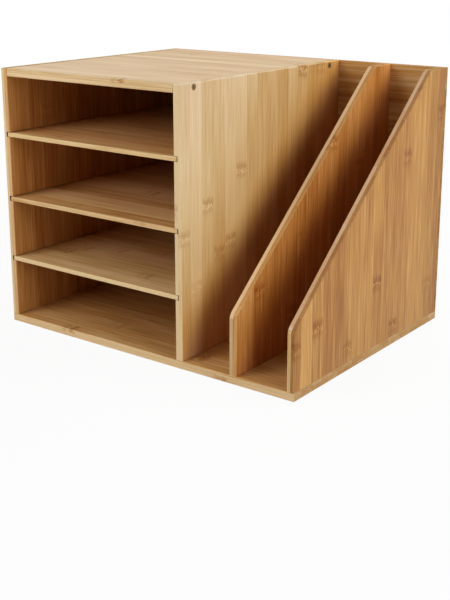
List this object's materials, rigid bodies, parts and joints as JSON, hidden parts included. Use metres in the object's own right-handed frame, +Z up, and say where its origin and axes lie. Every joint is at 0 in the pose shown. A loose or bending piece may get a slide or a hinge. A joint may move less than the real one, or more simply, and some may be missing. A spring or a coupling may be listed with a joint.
{
  "type": "desktop file rack",
  "caption": "Bamboo desk rack with a stack of open tray bays on pull-out shelves, beside upright file slots with slanted fronts.",
  "frame": {"origin": "middle of the footprint, on the base panel's underside, which rests on the desk", "axes": "+X to the right along the width, with the file slots on the +X side; +Y from the open front to the back panel; +Z up"},
  "size_m": [0.4, 0.308, 0.3],
  "materials": {
    "bamboo_base": "satin lacquer",
    "bamboo_upright": "satin lacquer",
    "bamboo_top": "satin lacquer",
    "bamboo_back": "satin lacquer",
    "bamboo_shelf": "satin lacquer",
    "screw_metal": "yellow zinc plated"
  },
  "bodies": {
    "carcass": {"base_panel": "bamboo_base", "left_side": "bamboo_upright", "partition": "bamboo_upright", "middle_divider": "bamboo_upright", "right_side": "bamboo_upright", "top_panel": "bamboo_top", "back_panel": "bamboo_back", "left_top_screws": "screw_metal", "partition_top_screws": "screw_metal", "left_base_screws": "screw_metal", "partition_base_screws": "screw_metal", "divider_base_screws": "screw_metal", "right_base_screws": "screw_metal", "left_back_screws": "screw_metal", "partition_back_screws": "screw_metal", "divider_back_screws": "screw_metal", "right_back_screws": "screw_metal", "top_back_screws": "screw_metal"},
    "upper_shelf": {"upper_shelf": "bamboo_shelf"},
    "middle_shelf": {"middle_shelf": "bamboo_shelf"},
    "lower_shelf": {"lower_shelf": "bamboo_shelf"}
  },
  "joints": [
    {"name": "upper_shelf_slide", "type": "slide", "parent": "carcass", "child": "upper_shelf", "axis": [0, -1, 0], "range_m": [0, 0.31]},
    {"name": "middle_shelf_slide", "type": "slide", "parent": "carcass", "child": "middle_shelf", "axis": [0, -1, 0], "range_m": [0, 0.31]},
    {"name": "lower_shelf_slide", "type": "slide", "parent": "carcass", "child": "lower_shelf", "axis": [0, -1, 0], "range_m": [0, 0.31]}
  ]
}
